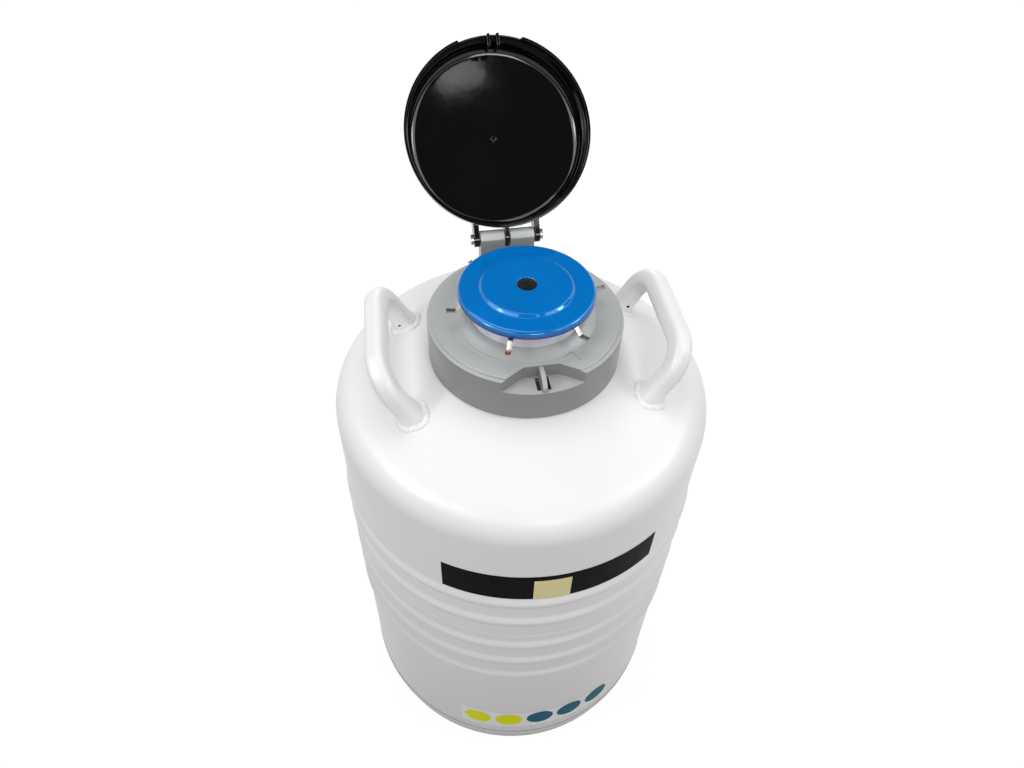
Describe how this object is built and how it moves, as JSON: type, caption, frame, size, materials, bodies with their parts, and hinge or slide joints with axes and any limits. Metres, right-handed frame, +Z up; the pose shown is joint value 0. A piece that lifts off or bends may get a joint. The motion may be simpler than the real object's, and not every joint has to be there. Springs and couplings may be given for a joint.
{
  "type": "liquid nitrogen storage container",
  "caption": "Aluminium cryogenic storage vessel with a narrow neck, canister hooks under a blue cap, a hinged lid on a grey collar and welded carry handles.",
  "frame": {"origin": "centre of the foot pan's flat underside, on the neck's axis", "axes": "+Z up along the neck, -Y towards the padlock recess, +Y towards the lid hinge, +X along the hinge pin"},
  "size_m": [0.4698, 0.5197, 0.9363],
  "materials": {
    "vessel_paint": "gloss white paint on aluminium",
    "bare_aluminium": "bare, satin",
    "neck_laminate": "glass fibre laminate, satin",
    "insulation": "wrapped foil and paper",
    "black_rubber": "satin",
    "collar_plastic": "moulded, satin grey",
    "stainless_steel": "satin",
    "ring_plastic": "moulded, satin off-white",
    "cap_plastic": "gloss blue",
    "plug_foam": "closed-cell foam",
    "lid_plastic": "gloss black"
  },
  "bodies": {
    "vessel": {"outer_shell_lower": "vessel_paint", "outer_shell_upper": "vessel_paint", "neck_spout": "vessel_paint", "foot_pan": "vessel_paint", "inner_base": "bare_aluminium", "inner_wall": "bare_aluminium", "inner_cone": "bare_aluminium", "neck_tube": "neck_laminate", "insulation_blanket": "insulation", "sorbent_tray": "bare_aluminium", "vacuum_port": "bare_aluminium", "vacuum_port_cap": "black_rubber", "neck_collar": "collar_plastic", "hinge_bracket": "collar_plastic", "collar_clamp": "stainless_steel", "handle_left": "vessel_paint", "handle_right": "vessel_paint", "weld_left_front": "vessel_paint", "weld_left_rear": "vessel_paint", "weld_right_front": "vessel_paint", "weld_right_rear": "vessel_paint", "index_ring": "ring_plastic", "cap_cover": "cap_plastic", "centre_plug": "black_rubber", "neck_plug": "plug_foam", "locating_plate": "bare_aluminium", "hinge_pin": "stainless_steel", "hinge_pin_cap": "stainless_steel", "canister_1": "bare_aluminium", "canister_base_1": "bare_aluminium", "canister_handle_1": "stainless_steel", "canister_2": "bare_aluminium", "canister_base_2": "bare_aluminium", "canister_handle_2": "stainless_steel", "canister_3": "bare_aluminium", "canister_base_3": "bare_aluminium", "canister_handle_3": "stainless_steel", "canister_4": "bare_aluminium", "canister_base_4": "bare_aluminium", "canister_handle_4": "stainless_steel", "canister_5": "bare_aluminium", "canister_base_5": "bare_aluminium", "canister_handle_5": "stainless_steel", "canister_6": "bare_aluminium", "canister_base_6": "bare_aluminium", "canister_handle_6": "stainless_steel"},
    "lid": {"lid": "lid_plastic"}
  },
  "joints": [
    {"name": "lid_hinge", "type": "hinge", "parent": "vessel", "child": "lid", "pos_m": [0, 0.1228, 0.73432], "axis": [1, 0, 0], "range_deg": [0, 129.4]}
  ]
}
